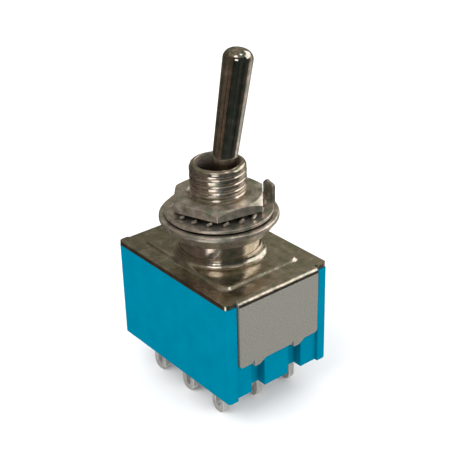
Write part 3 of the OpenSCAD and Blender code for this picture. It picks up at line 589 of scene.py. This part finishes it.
def sweep_rise(r):
    """Height of the collar's concave sweep at this radius."""
    t = min(max((COLLAR + COLLAR_SWEEP - r) / COLLAR_SWEEP, 0), 1)
    return COLLAR_HEIGHT * (1 - math.sqrt(1 - t * t))


def ray_stops(x, y, start, count, shift=0.0):
    """Radii along a ray to (x, y), closer together where the sheet curves."""
    reach = math.hypot(x, y)
    stops, total = [(start, 0.0)], 0.0
    for k in range(1, RAY_STEPS + 1):
        r = start + (reach - start) * k / RAY_STEPS
        nearer, here = (r - 0.1) / reach, r / reach
        slope = pad_share(x * nearer, y * nearer, shift) - pad_share(x * here, y * here, shift)
        at_collar = 4 * max(1 - (r - COLLAR) / 0.5, 0) ** 2 if start < PAD_Y else 0
        total += (0.35 + 9 * abs(slope) + at_collar) * (reach - start)
        stops.append((r, total))
    radii, k = [], 0
    for j in range(count + 1):
        while k < RAY_STEPS - 1 and stops[k + 1][1] < total * j / count:
            k += 1
        (r0, t0), (r1, t1) = stops[k], stops[k + 1]
        radii.append(r0 + (r1 - r0) * (total * j / count - t0) / (t1 - t0))
    return radii


def at_bend(k):
    """Whether a point of the outline lies on a line where a flap is bent down."""
    return abs(abs(outline[k][0]) - BEND_X) < TINY and abs(outline[k][1]) < FLAP_HALF + TINY


shape = bmesh.new()
top_points, under_points = [], []
for x, y in outline:
    reach = math.hypot(x, y)
    column = [(HOLE, PLATE_TOP - SHEET + PAD_HEIGHT), (HOLE, 16.9), (HOLE + 0.03, 16.96), (COLLAR - 0.03, 16.97)]
    column = [(r * x / reach, r * y / reach, z) for r, z in column]
    for r in ray_stops(x, y, COLLAR, 40):
        at_x, at_y = x * r / reach, y * r / reach
        column.append((at_x, at_y, PLATE_TOP + PAD_HEIGHT * pad_share(at_x, at_y) + sweep_rise(r)))
    top_points.append([shape.verts.new(point) for point in column])
    column = []
    for r in ray_stops(x, y, HOLE, 12, SHEET)[1:]:
        at_x, at_y = x * r / reach, y * r / reach
        column.append((at_x, at_y, PLATE_TOP - SHEET + PAD_HEIGHT * pad_share(at_x, at_y, SHEET)))
    under_points.append([shape.verts.new(point) for point in column])
count = len(outline)
for k in range(count):
    after = (k + 1) % count
    here, there, under, under_there = top_points[k], top_points[after], under_points[k], under_points[after]
    for j in range(len(here) - 1):
        shape.faces.new((here[j], here[j + 1], there[j + 1], there[j]))
    under, under_there = [here[0]] + under, [there[0]] + under_there
    for j in range(len(under) - 1):
        shape.faces.new((under[j + 1], under[j], under_there[j], under_there[j + 1]))
    if not (at_bend(k) and at_bend(after)):
        shape.faces.new((here[-1], under[-1], under_there[-1], there[-1]))

# The flaps' lower edge, from one side to the other: eased corners, and two hooks with a notch beside each
hook = [(-HOOK_SIDE, NOTCH_RISE), (-HOOK_SIDE, -0.45), (-0.35, -0.5), (0.3, -0.5), (0.39, -0.46), (1.1, -0.04), (1.2, 0.0)]
corner = [(5.0, 0.0), (5.19, 0.06), (5.31, 0.19), (FLAP_HALF, 0.35)]
lower_edge = [(-y, z) for y, z in reversed(corner)]
for middle in HOOK_MIDDLES:
    notch = middle - HOOK_SIDE - NOTCH_WIDTH
    lower_edge += [(notch, 0.0), (notch, NOTCH_RISE)] + [(middle + u, v) for u, v in hook]
lower_edge += corner
bend_z = PLATE_TOP - BEND_OUT
for side in (1, -1):
    across = [k for k in range(count) if at_bend(k) and outline[k][0] * side > 0]
    across.sort(key=lambda k: outline[k][1])
    skins = []
    for radius, start in ((BEND_OUT, top_points), (BEND_IN, under_points)):
        rows_down = [[start[k][-1] for k in across]]
        for x, z in arc(BEND_X, bend_z, radius, 90, 0, 8)[1:]:
            rows_down.append([shape.verts.new((side * x, outline[k][1], z)) for k in across])
        for upper, lower in zip(rows_down, rows_down[1:]):
            for j in range(len(across) - 1):
                shape.faces.new((upper[j], upper[j + 1], lower[j + 1], lower[j]))
        foot = [shape.verts.new((side * (BEND_X + radius), y, FLAP_FOOT + z)) for y, z in lower_edge]
        shape.faces.new(rows_down[-1] + foot[::-1])
        skins.append((rows_down, foot))
    (out_rows, out_foot), (in_rows, in_foot) = skins
    for j in range(len(lower_edge) - 1):
        shape.faces.new((out_foot[j], out_foot[j + 1], in_foot[j + 1], in_foot[j]))
    for j, foot_end in ((0, 0), (-1, -1)):
        side_edge = [out_foot[foot_end], in_foot[foot_end]] + [row[j] for row in in_rows[::-1]]
        shape.faces.new([row[j] for row in out_rows] + side_edge)
frame_piece = new_piece("clinch_frame", shape)
ease_edges(frame_piece, 0.05, 2, 35)

plate_nickel, tree, shader = finish("plate_nickel", (0.55, 0.50, 0.44), 0.16, 1.0)
mottle(tree, shader, "Base Color", 0.9,
       (0.34, (0.44, 0.45, 0.35)), (0.45, (0.58, 0.54, 0.44)),
       (0.54, (0.64, 0.55, 0.46)), (0.68, (0.78, 0.73, 0.63)), detail=6.0)
mottle(tree, shader, "Roughness", 0.8, (0.3, 0.12), (0.7, 0.26))
emboss(tree, shader, (grain(tree, 2.2), 0.06), (grain(tree, 0.5), 0.012), (grain(tree, 0.15), 0.003))
flap_nickel, tree, shader = finish("flap_nickel", (0.6, 0.59, 0.54), 0.5, 0.6)
mottle(tree, shader, "Base Color", 0.12, (0.3, (0.28, 0.275, 0.235)), (0.7, (0.5, 0.49, 0.44)), detail=2.0)
mottle(tree, shader, "Roughness", 0.5, (0.3, 0.42), (0.7, 0.56))
emboss(tree, shader, (grain(tree, 0.14), 0.004), (grain(tree, 1.0, stretch=(1, 1, 0.4)), 0.01))
settled(frame_piece, (plate_nickel, flap_nickel), "frame_steel", "housing", "frame")
for face in frame_piece.data.polygons:
    face.material_index = int(face.center.z < (bend_z - 0.03) * MM)

# ---- Spacer ring ----
# A turned steel ring that stands the panel off the neck: a round-edged upper face with a cone below it.
# Satin nickel plate, with painted shade dark in the seams under the locking ring and round the lock washer.
HARDWARE_BORE, SPACER_FOOT, SPACER_FOOT_RADIUS, SPACER_RADIUS, SPACER_ROUND = 3.06, 18.82, 5.3, 6.37, 0.25
RECESS_RADIUS, RECESS_FACE, SEAM_SHADE = 5.52, 20.73, (0.04, 0.04, 0.03)
SHADED_SEAMS = ((20.5, 20.74, 5.72), (21.11, 21.73, 4.72))
satin_nickel, tree, shader = finish("satin_nickel", (0.6, 0.57, 0.49), 0.34, 0.92)
mottle(tree, shader, "Roughness", 0.6, (0.3, 0.26), (0.7, 0.44))
mottle(tree, shader, "Base Color", 0.9,
       (0.34, (0.36, 0.38, 0.29)), (0.45, (0.58, 0.54, 0.45)),
       (0.53, (0.66, 0.55, 0.47)), (0.66, (0.86, 0.82, 0.74)), detail=6.0)
emboss(tree, shader, (grain(tree, 1.2), 0.02), (grain(tree, 0.2), 0.004))
height_on, off_axis = where_on(tree)
shaded_plating = shader.inputs["Base Color"].links[0].from_socket
# Painted shade: the gaps under the locking ring and round the lock washer are painted near black, by height and
# distance from the axis.
for foot, top, reach in SHADED_SEAMS:
    above = math_node(tree, "GREATER_THAN", height_on, foot * MM)
    below = math_node(tree, "LESS_THAN", height_on, top * MM)
    within = math_node(tree, "LESS_THAN", off_axis, reach * MM)
    seam_shade = math_node(tree, "MULTIPLY", math_node(tree, "MULTIPLY", above, below), within)
    shaded_plating = mix(tree, seam_shade, shaded_plating, SEAM_SHADE)
tree.links.new(shaded_plating, shader.inputs["Base Color"])
ring_profile = [(HARDWARE_BORE, SPACER_FOOT), (SPACER_FOOT_RADIUS, SPACER_FOOT), (5.36, 18.85), (6.33, 20.13),
                (SPACER_RADIUS, 20.16)] + arc(SPACER_RADIUS - SPACER_ROUND, 20.36, SPACER_ROUND, 0, 90, 6)
ring_profile += [(6.0, 20.6), (5.55, 20.54), (RECESS_RADIUS, 20.57), (RECESS_RADIUS, RECESS_FACE),
                 (HARDWARE_BORE, RECESS_FACE)]
spacer = new_piece("spacer_ring_body", turned(ring_profile, round_angles(144)))
spacer.data.set_sharp_from_angle(angle=math.radians(32))
settled(spacer, satin_nickel, "hardware_nickel", "housing", "spacer_ring")

# ---- Locking ring ----
# Stamped from steel sheet, with a tongue that slides in the bushing's keyway.
# A tab bent up at its edge goes into a second, small hole in the panel and keeps the switch from turning.
LOCK_FOOT, LOCK_TOP, LOCK_RADIUS, TAB_WIDTH, TAB_TOP, TAB_ANGLE = 20.75, 21.1, 5.8, 2.3, 22.75, 75
TAB_SHEET, TAB_PROUD, TONGUE_HALF, TONGUE_REACH = 0.37, 0.25, 0.44, 2.61
tab_turn = math.radians(TAB_ANGLE)
edge_half = math.degrees(math.asin(TAB_WIDTH / 2 / LOCK_RADIUS))
rim_line = arc(0, 0, LOCK_RADIUS, TAB_ANGLE + edge_half, TAB_ANGLE + 360 - edge_half, 132)
bore_line = arc(0, 0, HARDWARE_BORE, 98.4, 441.6, 90) + [(TONGUE_HALF, TONGUE_REACH), (-TONGUE_HALF, TONGUE_REACH)]
thickness = LOCK_TOP - LOCK_FOOT
ring = stamped("locking_ring_body", [rim_line, bore_line], thickness, "Z")
ring.data.transform(Matrix.Translation((0, 0, (LOCK_TOP + LOCK_FOOT) / 2)))
ease_edges(ring, 0.1, 3)
settled(ring, satin_nickel, "hardware_nickel", "housing", "locking_ring")
tab_half = TAB_WIDTH / 2
tab_line = [(-tab_half, LOCK_FOOT), (tab_half, LOCK_FOOT), (tab_half, 22.62), (1.02, TAB_TOP), (-0.55, TAB_TOP),
            (-tab_half, 22.2)]
tab = stamped("locking_tab", [tab_line], TAB_SHEET)
seat = LOCK_RADIUS + TAB_PROUD - TAB_SHEET / 2
tab.data.transform(Matrix.Rotation(tab_turn - math.pi / 2, 4, "Z") @ Matrix.Translation((0, seat, 0)))
ease_edges(tab, 0.07, 3)
settled(tab, satin_nickel, "hardware_nickel", "housing")

# ---- Lock washer ----
# A spring-steel washer whose teeth are each twisted to bite into the nut and the ring below.
# The teeth are turned copies of one.
WASHER_MIDDLE, WASHER_SHEET, WASHER_RADIUS, WASHER_HALF = 21.41, 0.28, 4.3, 0.16
TOOTH_RADIUS, TOOTH_LENGTH, TOOTH_WIDTH, TOOTH_ROOT, TWIST, TEETH = 4.95, 0.9, 0.62, 0.1, 28, 18
crown, given = new_tree("turned_copies", Count="Int", Material="Material")
share = math_node(crown, "ADD", crown.nodes.new("GeometryNodeInputIndex").outputs[0], 0.5)
turns = math_node(crown, "MULTIPLY", math_node(crown, "DIVIDE", share, given["Count"]), 2 * math.pi)
points = node(crown, "GeometryNodePoints", Count=given["Count"]).outputs[0]
copies = node(crown, "GeometryNodeInstanceOnPoints", Points=points, Instance=given["Geometry"],
              Rotation=node(crown, "ShaderNodeCombineXYZ", Z=turns).outputs[0])
end_tree(crown, copies.outputs[0], given["Material"])
shape = bmesh.new()
bmesh.ops.create_cube(shape, size=1)
bmesh.ops.scale(shape, vec=(TOOTH_LENGTH + TOOTH_ROOT, TOOTH_WIDTH, WASHER_SHEET), verts=shape.verts)
bmesh.ops.rotate(shape, cent=(0, 0, 0), matrix=Matrix.Rotation(math.radians(TWIST), 3, "X"), verts=shape.verts)
bmesh.ops.translate(shape, vec=(TOOTH_RADIUS - TOOTH_LENGTH / 2 - TOOTH_ROOT / 2, 0, WASHER_MIDDLE), verts=shape.verts)
tooth = new_piece("washer_teeth", shape)
ease_edges(tooth, 0.04, 2)
run_tree(tooth, crown, Count=TEETH, Material=satin_nickel)
settled(tooth, satin_nickel, "hardware_nickel", "housing", "lock_washer")
washer_foot, washer_top = WASHER_MIDDLE - WASHER_HALF, WASHER_MIDDLE + WASHER_HALF
washer_profile = [(HARDWARE_BORE, washer_foot), (WASHER_RADIUS, washer_foot), (WASHER_RADIUS, washer_top),
                  (HARDWARE_BORE, washer_top)]
washer = new_piece("washer_ring", turned(washer_profile, round_angles(72)))
ease_edges(washer, 0.03)
settled(washer, satin_nickel, "hardware_nickel", "housing")

# ---- Hex nut ----
# A thin nut of 9.2 mm across its flats, its corners well chamfered above and its bore countersunk.
# Steel with satin nickel plate, turned down by hand to clamp the panel.
NUT_FOOT, NUT_TOP, ACROSS_FLATS, NUT_TURN, NUT_CHAMFER, SINK, CORNER_ROUND = 21.74, 22.8, 9.2, -40, 0.75, 3.4, 0.2
NUT_BORE, NUT_EASE, HALF_SIDE = 2.79, 0.05, math.radians(30)
flat = ACROSS_FLATS / 2
corner_reach = flat / math.cos(HALF_SIDE)
slope = math.tan(HALF_SIDE)
centre = (flat - CORNER_ROUND) / math.cos(HALF_SIDE)
touch = math.atan2(CORNER_ROUND * math.sin(HALF_SIDE), centre + CORNER_ROUND * math.cos(HALF_SIDE))


def hex_radius(angle):
    """Reach of the rounded hexagon at an angle from one of its corners."""
    a = math.radians((math.degrees(angle) + 30) % 60 - 30)
    straight = flat / math.cos(HALF_SIDE - abs(a))
    on_arc = centre * math.cos(a) + math.sqrt(max(CORNER_ROUND ** 2 - (centre * math.sin(a)) ** 2, 0))
    return on_arc if abs(a) < touch else straight


shape = bmesh.new()
nut_columns = []
corner_steps = [math.degrees(touch) * k / 3 for k in range(-3, 4)]
flat_steps = [3, 5, 8, 12, 16, 20, 24, 28, 30, 32, 36, 40, 44, 48, 52, 55, 57]
nut_angles = sorted(60 * k + a for k in range(6) for a in corner_steps + flat_steps)
for a in nut_angles:
    local = math.radians(a)
    reach = hex_radius(local)
    top_reach = min(reach, corner_reach - NUT_CHAMFER)
    cut = (reach - top_reach) * slope
    line = [(NUT_BORE, NUT_FOOT), (reach - NUT_EASE, NUT_FOOT), (reach, NUT_FOOT + NUT_EASE),
            (reach, NUT_TOP - cut - 0.02), (top_reach - 0.02, NUT_TOP), (SINK + 0.02, NUT_TOP),
            (SINK - 0.04, NUT_TOP - 0.03), (NUT_BORE, NUT_TOP - (SINK - NUT_BORE) * slope)]
    turn_to = local + math.radians(NUT_TURN)
    nut_columns.append([shape.verts.new((r * math.cos(turn_to), r * math.sin(turn_to), z)) for r, z in line])
for k, here in enumerate(nut_columns):
    there = nut_columns[(k + 1) % len(nut_columns)]
    for j in range(len(here)):
        shape.faces.new((here[j], here[(j + 1) % len(here)], there[(j + 1) % len(here)], there[j]))
nut = new_piece("thin_nut", shape)
nut.data.set_sharp_from_angle(angle=math.radians(24))
flats = nut.modifiers.new("flats", "WEIGHTED_NORMAL")
flats.keep_sharp = True
settled(nut, satin_nickel, "hardware_nickel", "housing", "hex_nut")
